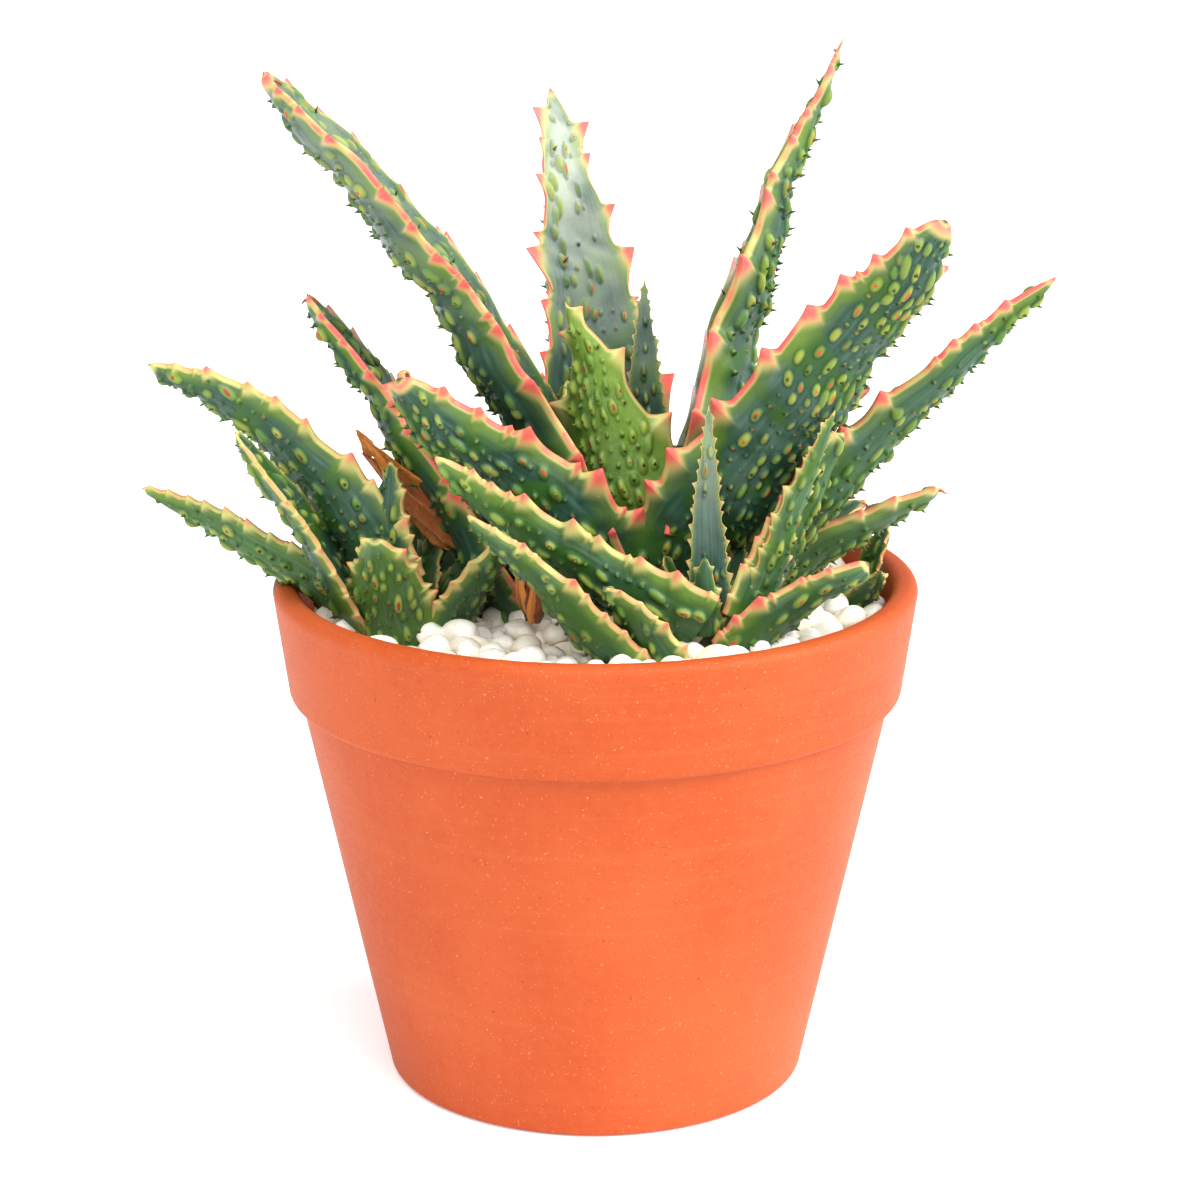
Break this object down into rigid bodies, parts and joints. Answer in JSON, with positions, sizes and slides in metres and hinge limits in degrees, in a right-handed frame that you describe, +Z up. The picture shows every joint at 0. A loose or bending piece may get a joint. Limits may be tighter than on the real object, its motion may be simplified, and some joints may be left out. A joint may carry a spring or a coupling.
{
  "type": "potted succulent plant",
  "caption": "Potted aloe with tall toothed green leaves and smaller offshoot clumps, in a tapered terracotta pot topped with pale pebbles",
  "frame": {"origin": "centre of the pot's foot, on the surface it stands on", "axes": "+Z up along the pot's axis, +X to the plant's right seen from its front, +Y to its back"},
  "size_m": [0.2079, 0.1507, 0.2436],
  "materials": {
    "terracotta": "matte fired clay, bright orange, finely speckled",
    "soil": "dark crumbly potting soil",
    "pebbles": "smooth cream pebbles",
    "leaf": "waxy blue-green skin with raised yellow-green bumps and pink-tipped teeth",
    "dry_leaf": "dry papery orange-brown"
  },
  "bodies": {
    "root": {"dry_leaf": "dry_leaf", "front_bud_left": "leaf", "front_bud_right": "leaf", "front_curl": "leaf", "front_long": "leaf", "front_low_right": "leaf", "front_mid_right": "leaf", "front_narrow": "leaf", "front_small": "leaf", "front_spear": "leaf", "front_thin_right": "leaf", "leaf_back": "leaf", "leaf_back_left": "leaf", "leaf_back_low": "leaf", "leaf_back_outer": "leaf", "leaf_back_right": "leaf", "leaf_broad_front": "leaf", "leaf_broad_right": "leaf", "leaf_dark_right": "leaf", "leaf_heart_front": "leaf", "leaf_heart_left": "leaf", "leaf_heart_right": "leaf", "leaf_heart_spear": "leaf", "leaf_long_right": "leaf", "leaf_low_right": "leaf", "leaf_mid_left": "leaf", "leaf_tall_left": "leaf", "leaf_tall_right": "leaf", "left_back_low": "leaf", "left_back_right": "leaf", "left_back_up": "leaf", "left_broad": "leaf", "left_cross": "leaf", "left_front": "leaf", "left_inner": "leaf", "left_long": "leaf", "left_low": "leaf", "left_small": "leaf", "pebble_bed": "pebbles", "pot": "terracotta", "right_low": "leaf", "right_small": "leaf", "right_up": "leaf", "soil": "soil", "stem_front": "leaf", "stem_left": "leaf", "stem_main": "leaf", "stem_right": "leaf", "withered_offshoot": "dry_leaf"}
  },
  "joints": []
}
